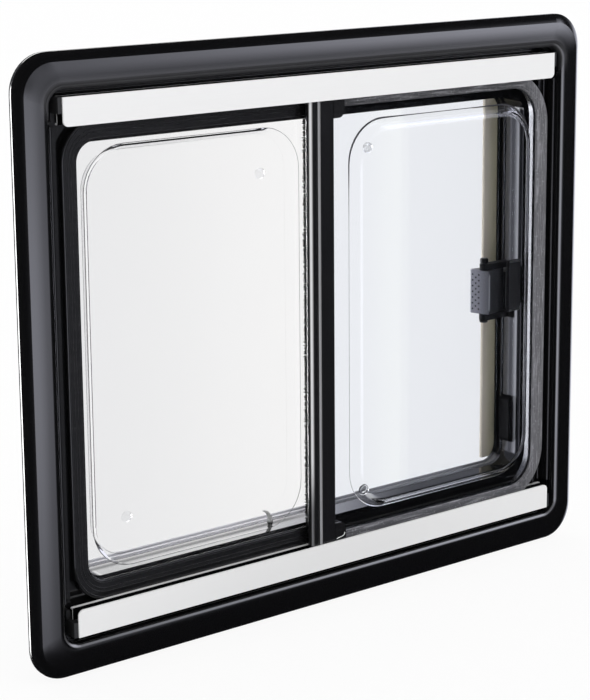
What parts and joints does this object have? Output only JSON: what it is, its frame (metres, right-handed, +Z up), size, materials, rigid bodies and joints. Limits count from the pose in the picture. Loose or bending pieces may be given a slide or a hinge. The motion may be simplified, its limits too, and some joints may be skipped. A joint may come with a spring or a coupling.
{
  "type": "caravan window",
  "caption": "Sliding caravan window: black moulded frame with round corners, silver rails above and below, a fixed double acrylic pane and a sliding sash with a stile and inside latch.",
  "frame": {"origin": "on the back face of the flange that lies on the wall, in the middle of its bottom strip", "axes": "+X to the right seen from outside, +Y through the wall into the room, +Z up"},
  "size_m": [0.64, 0.0682, 0.54],
  "materials": {
    "frame_black": "glossy moulded black",
    "rail_silver": "satin silver-white anodised",
    "acrylic": "clear acrylic",
    "rubber_black": "black rubber, slightly dusty",
    "stile_black": "satin black",
    "pile_black": "black pile",
    "latch_black": "satin black",
    "latch_grey": "dark grey, dimpled",
    "pin_steel": "dark steel",
    "strip_beige": "beige",
    "plug_clear": "clear plastic",
    "clip_white": "white plastic"
  },
  "bodies": {
    "root": {"bottom_rail": "rail_silver", "bottom_rail_end_caps": "latch_black", "fixed_pane_edge_channel": "rubber_black", "fixed_pane_flat_sheet": "acrylic", "fixed_pane_gasket": "rubber_black", "fixed_pane_plugs": "plug_clear", "fixed_pane_tray_sheet": "acrylic", "frame_flange": "frame_black", "frame_reveal": "frame_black", "frame_ribs": "frame_black", "frame_screw_bosses": "frame_black", "frame_spigot": "frame_black", "guide_strip_left": "strip_beige", "guide_strip_right": "strip_beige", "jamb_stop": "latch_black", "jamb_strip_left": "rubber_black", "jamb_strip_right": "rubber_black", "latch_base": "latch_black", "latch_grip": "latch_grey", "latch_keeper": "latch_black", "latch_pin": "pin_steel", "sash_dome_sheet": "acrylic", "sash_edge_strip": "rail_silver", "sash_flat_sheet": "acrylic", "sash_gasket": "rubber_black", "sash_plugs": "plug_clear", "sash_slide_shoes": "latch_black", "sash_stile": "stile_black", "sill_clip": "clip_white", "stile_brush": "pile_black", "top_rail": "rail_silver", "top_rail_end_caps": "latch_black"}
  },
  "joints": []
}
